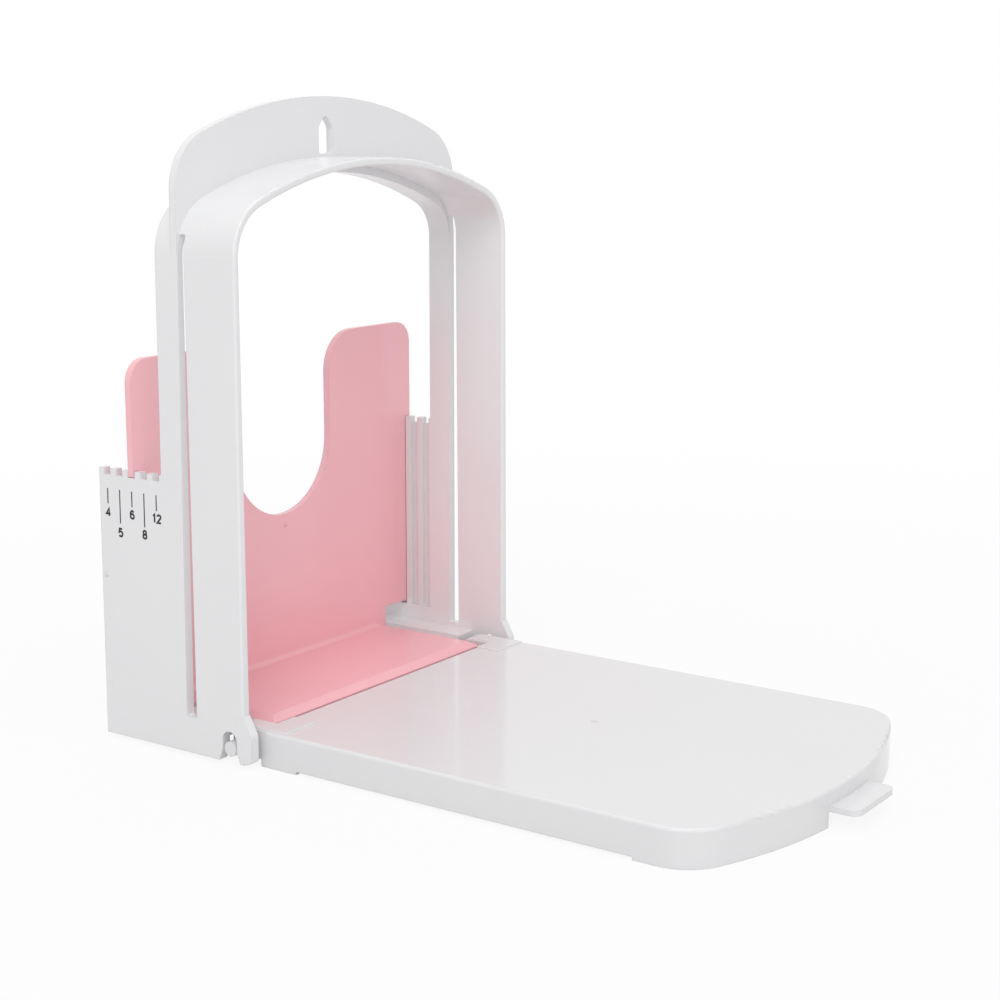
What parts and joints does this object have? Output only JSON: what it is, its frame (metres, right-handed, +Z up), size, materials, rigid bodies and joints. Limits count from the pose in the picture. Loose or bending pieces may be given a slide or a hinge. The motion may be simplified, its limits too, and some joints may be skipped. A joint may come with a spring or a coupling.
{
  "type": "bread slicer guide",
  "caption": "Upright loaf-shaped frame with knife slots and thickness grooves, a drop-in stopper, and a bread board that folds up into the frame.",
  "frame": {"origin": "on the table under the middle of the whole object, with the board folded out", "axes": "+X across from wall to wall, +Y from the pull tab to the stopper side, +Z up"},
  "size_m": [0.135, 0.2238, 0.1927],
  "materials": {
    "white_plastic": "glossy white moulded plastic",
    "white_board": "glossy white moulded plastic",
    "pink_plastic": "glossy salmon pink moulded plastic"
  },
  "bodies": {
    "frame": {"upright_frame": "white_plastic"},
    "board": {"base_board": "white_board"},
    "stopper": {"slice_stopper": "pink_plastic"}
  },
  "joints": [
    {"name": "board_fold", "type": "hinge", "parent": "frame", "child": "board", "pos_m": [0, 0.0616, 0.0053], "axis": [-1, 0, 0], "range_deg": [0, 86]},
    {"name": "stopper_lift", "type": "slide", "parent": "frame", "child": "stopper", "axis": [0, 0, -1], "range_m": [-0.146, 0]}
  ]
}
